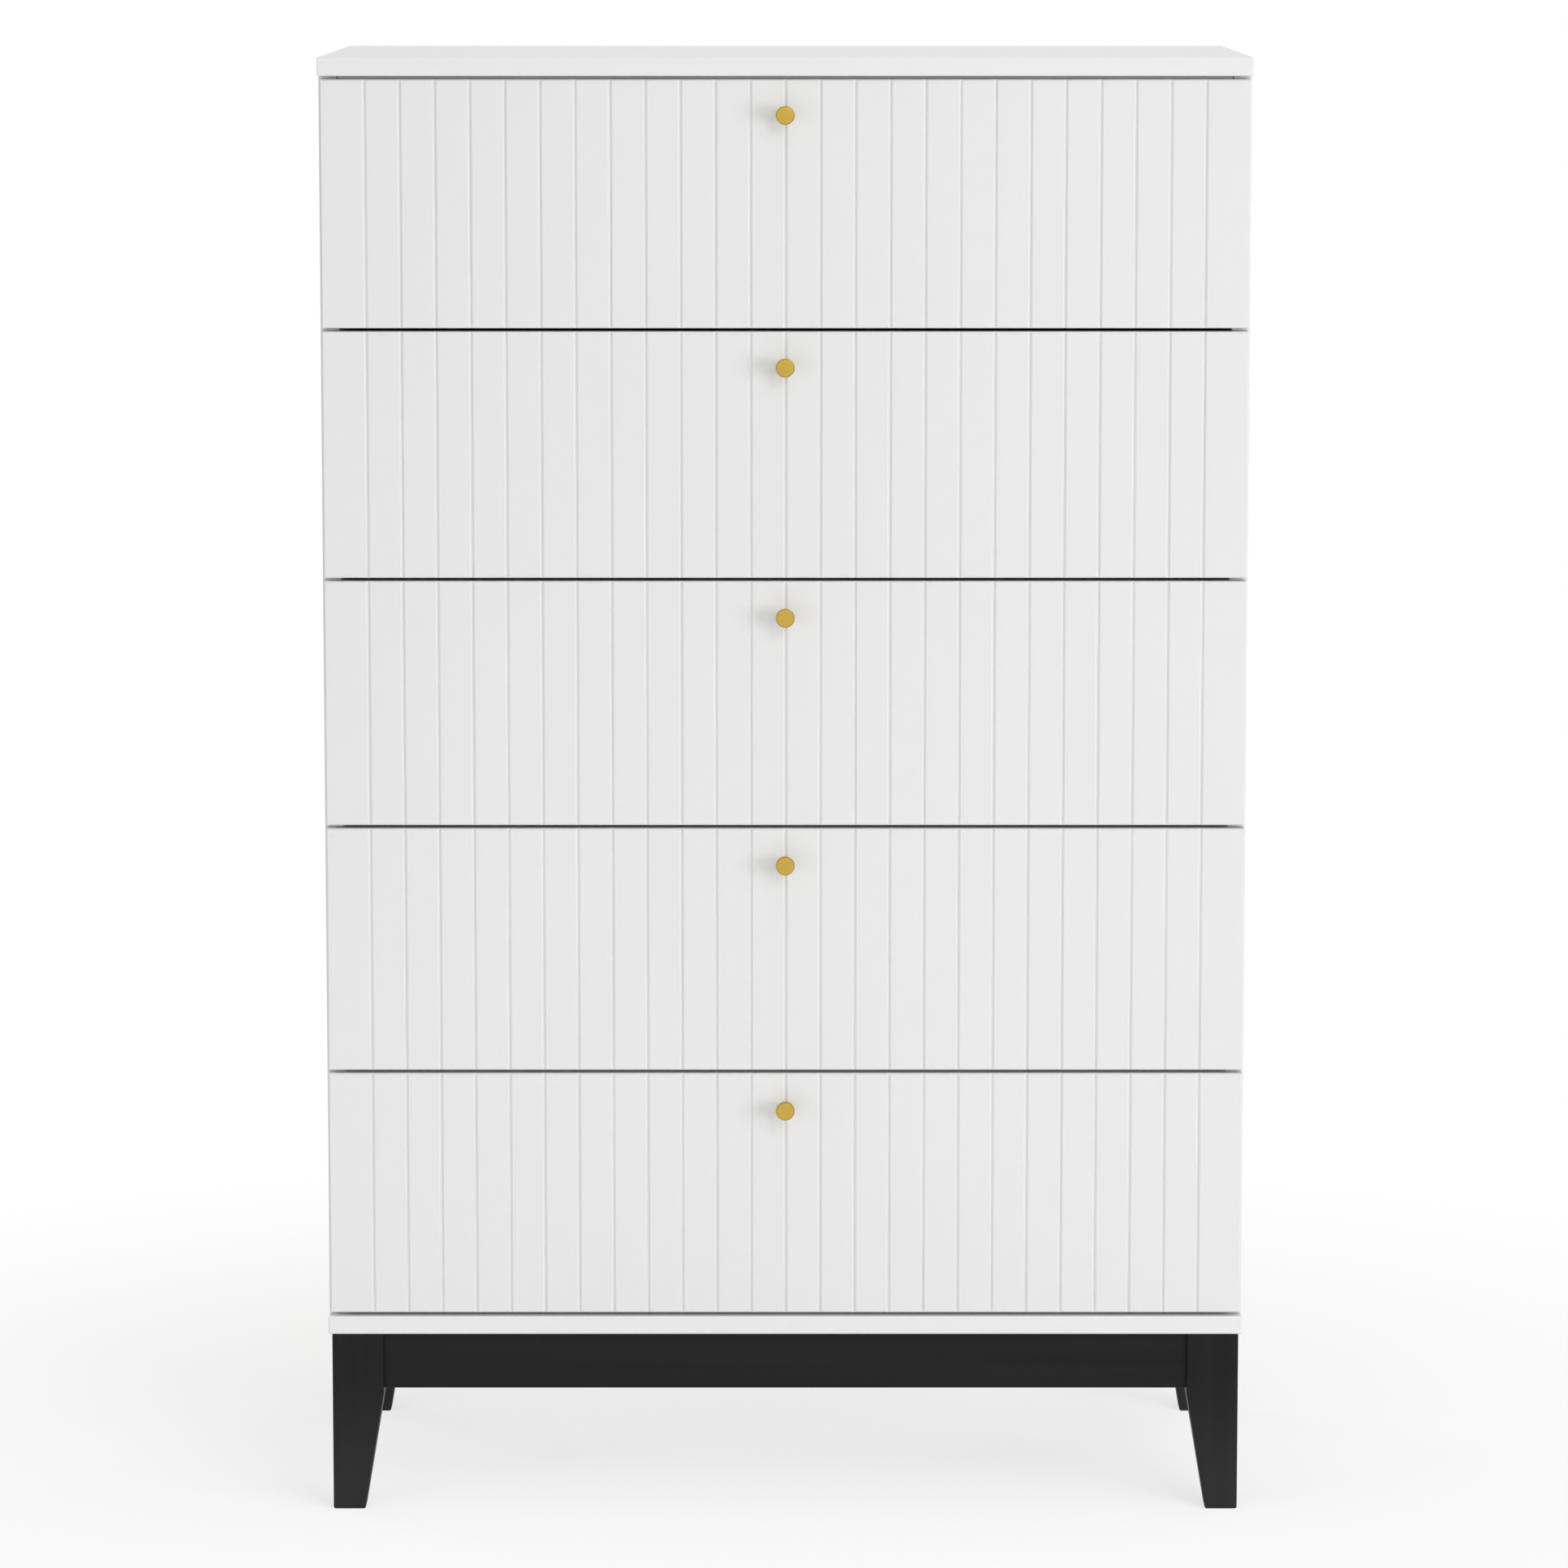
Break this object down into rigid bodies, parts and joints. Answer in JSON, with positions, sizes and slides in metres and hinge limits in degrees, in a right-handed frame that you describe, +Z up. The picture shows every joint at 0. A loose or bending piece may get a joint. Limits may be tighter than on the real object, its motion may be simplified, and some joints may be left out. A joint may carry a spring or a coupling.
{
  "type": "tall chest of drawers",
  "caption": "Tall white chest whose vertically grooved drawers run on roller slides, with small round gold knobs, on a black base with tapered legs.",
  "frame": {"origin": "on the floor, below the middle of the whole box, knobs included", "axes": "+Z up, -Y towards the front, +X to the right as seen from the front"},
  "size_m": [0.8, 0.418, 1.27],
  "materials": {
    "white_lacquer": "satin white lacquer",
    "box_board": "matt white foil on board",
    "hardboard": "thin hardboard, white inside and bare outside",
    "black_paint": "satin black paint over close-grained wood",
    "plain_wood": "bare sawn wood",
    "satin_brass": "brushed satin gold",
    "runner_enamel": "white enamelled sheet steel",
    "nylon": "off-white nylon",
    "zinc_steel": "zinc plated"
  },
  "bodies": {
    "case": {"top_panel": "white_lacquer", "bottom_panel": "white_lacquer", "left_side_panel": "white_lacquer", "right_side_panel": "white_lacquer", "back_panel": "hardboard", "top_rails": "white_lacquer", "cabinet_runners": "runner_enamel", "front_left_leg": "black_paint", "front_right_leg": "black_paint", "rear_left_leg": "black_paint", "rear_right_leg": "black_paint", "front_and_rear_aprons": "black_paint", "side_aprons": "black_paint", "corner_blocks": "plain_wood", "base_bolts": "zinc_steel"},
    "drawer_1": {"drawer_1_front": "white_lacquer", "drawer_1_knob": "satin_brass", "drawer_1_left_side": "box_board", "drawer_1_right_side": "box_board", "drawer_1_back": "box_board", "drawer_1_bottom": "hardboard", "drawer_1_runners": "runner_enamel"},
    "drawer_1_runner_rollers": {"drawer_1_runner_rollers": "nylon"},
    "drawer_1_cabinet_rollers": {"drawer_1_cabinet_rollers": "nylon"},
    "drawer_2": {"drawer_2_front": "white_lacquer", "drawer_2_knob": "satin_brass", "drawer_2_left_side": "box_board", "drawer_2_right_side": "box_board", "drawer_2_back": "box_board", "drawer_2_bottom": "hardboard", "drawer_2_runners": "runner_enamel"},
    "drawer_2_runner_rollers": {"drawer_2_runner_rollers": "nylon"},
    "drawer_2_cabinet_rollers": {"drawer_2_cabinet_rollers": "nylon"},
    "drawer_3": {"drawer_3_front": "white_lacquer", "drawer_3_knob": "satin_brass", "drawer_3_left_side": "box_board", "drawer_3_right_side": "box_board", "drawer_3_back": "box_board", "drawer_3_bottom": "hardboard", "drawer_3_runners": "runner_enamel"},
    "drawer_3_runner_rollers": {"drawer_3_runner_rollers": "nylon"},
    "drawer_3_cabinet_rollers": {"drawer_3_cabinet_rollers": "nylon"},
    "drawer_4": {"drawer_4_front": "white_lacquer", "drawer_4_knob": "satin_brass", "drawer_4_left_side": "box_board", "drawer_4_right_side": "box_board", "drawer_4_back": "box_board", "drawer_4_bottom": "hardboard", "drawer_4_runners": "runner_enamel"},
    "drawer_4_runner_rollers": {"drawer_4_runner_rollers": "nylon"},
    "drawer_4_cabinet_rollers": {"drawer_4_cabinet_rollers": "nylon"},
    "drawer_5": {"drawer_5_front": "white_lacquer", "drawer_5_knob": "satin_brass", "drawer_5_left_side": "box_board", "drawer_5_right_side": "box_board", "drawer_5_back": "box_board", "drawer_5_bottom": "hardboard", "drawer_5_runners": "runner_enamel"},
    "drawer_5_runner_rollers": {"drawer_5_runner_rollers": "nylon"},
    "drawer_5_cabinet_rollers": {"drawer_5_cabinet_rollers": "nylon"}
  },
  "joints": [
    {"name": "drawer_1_slide", "type": "slide", "parent": "case", "child": "drawer_1", "axis": [0, -1, 0], "range_m": [0, 0.26]},
    {"name": "drawer_1_runner_roll", "type": "hinge", "parent": "drawer_1", "child": "drawer_1_runner_rollers", "pos_m": [0, 0.162, 1.0613], "axis": [1, 0, 0], "range_deg": [0, 1570]},
    {"name": "drawer_1_cabinet_roll", "type": "hinge", "parent": "case", "child": "drawer_1_cabinet_rollers", "pos_m": [0, -0.156, 1.0623], "axis": [1, 0, 0], "range_deg": [0, 1570]},
    {"name": "drawer_2_slide", "type": "slide", "parent": "case", "child": "drawer_2", "axis": [0, -1, 0], "range_m": [0, 0.26]},
    {"name": "drawer_2_runner_roll", "type": "hinge", "parent": "drawer_2", "child": "drawer_2_runner_rollers", "pos_m": [0, 0.162, 0.8458], "axis": [1, 0, 0], "range_deg": [0, 1570]},
    {"name": "drawer_2_cabinet_roll", "type": "hinge", "parent": "case", "child": "drawer_2_cabinet_rollers", "pos_m": [0, -0.156, 0.8468], "axis": [1, 0, 0], "range_deg": [0, 1570]},
    {"name": "drawer_3_slide", "type": "slide", "parent": "case", "child": "drawer_3", "axis": [0, -1, 0], "range_m": [0, 0.26]},
    {"name": "drawer_3_runner_roll", "type": "hinge", "parent": "drawer_3", "child": "drawer_3_runner_rollers", "pos_m": [0, 0.162, 0.6303], "axis": [1, 0, 0], "range_deg": [0, 1570]},
    {"name": "drawer_3_cabinet_roll", "type": "hinge", "parent": "case", "child": "drawer_3_cabinet_rollers", "pos_m": [0, -0.156, 0.6313], "axis": [1, 0, 0], "range_deg": [0, 1570]},
    {"name": "drawer_4_slide", "type": "slide", "parent": "case", "child": "drawer_4", "axis": [0, -1, 0], "range_m": [0, 0.26]},
    {"name": "drawer_4_runner_roll", "type": "hinge", "parent": "drawer_4", "child": "drawer_4_runner_rollers", "pos_m": [0, 0.162, 0.4148], "axis": [1, 0, 0], "range_deg": [0, 1570]},
    {"name": "drawer_4_cabinet_roll", "type": "hinge", "parent": "case", "child": "drawer_4_cabinet_rollers", "pos_m": [0, -0.156, 0.4158], "axis": [1, 0, 0], "range_deg": [0, 1570]},
    {"name": "drawer_5_slide", "type": "slide", "parent": "case", "child": "drawer_5", "axis": [0, -1, 0], "range_m": [0, 0.26]},
    {"name": "drawer_5_runner_roll", "type": "hinge", "parent": "drawer_5", "child": "drawer_5_runner_rollers", "pos_m": [0, 0.162, 0.1993], "axis": [1, 0, 0], "range_deg": [0, 1570]},
    {"name": "drawer_5_cabinet_roll", "type": "hinge", "parent": "case", "child": "drawer_5_cabinet_rollers", "pos_m": [0, -0.156, 0.2003], "axis": [1, 0, 0], "range_deg": [0, 1570]}
  ],
  "couplings": [
    {"joint": "drawer_1_runner_roll", "follows": "drawer_1_slide", "rad_per_m": 105.26},
    {"joint": "drawer_1_cabinet_roll", "follows": "drawer_1_slide", "rad_per_m": 105.26},
    {"joint": "drawer_2_runner_roll", "follows": "drawer_2_slide", "rad_per_m": 105.26},
    {"joint": "drawer_2_cabinet_roll", "follows": "drawer_2_slide", "rad_per_m": 105.26},
    {"joint": "drawer_3_runner_roll", "follows": "drawer_3_slide", "rad_per_m": 105.26},
    {"joint": "drawer_3_cabinet_roll", "follows": "drawer_3_slide", "rad_per_m": 105.26},
    {"joint": "drawer_4_runner_roll", "follows": "drawer_4_slide", "rad_per_m": 105.26},
    {"joint": "drawer_4_cabinet_roll", "follows": "drawer_4_slide", "rad_per_m": 105.26},
    {"joint": "drawer_5_runner_roll", "follows": "drawer_5_slide", "rad_per_m": 105.26},
    {"joint": "drawer_5_cabinet_roll", "follows": "drawer_5_slide", "rad_per_m": 105.26}
  ]
}
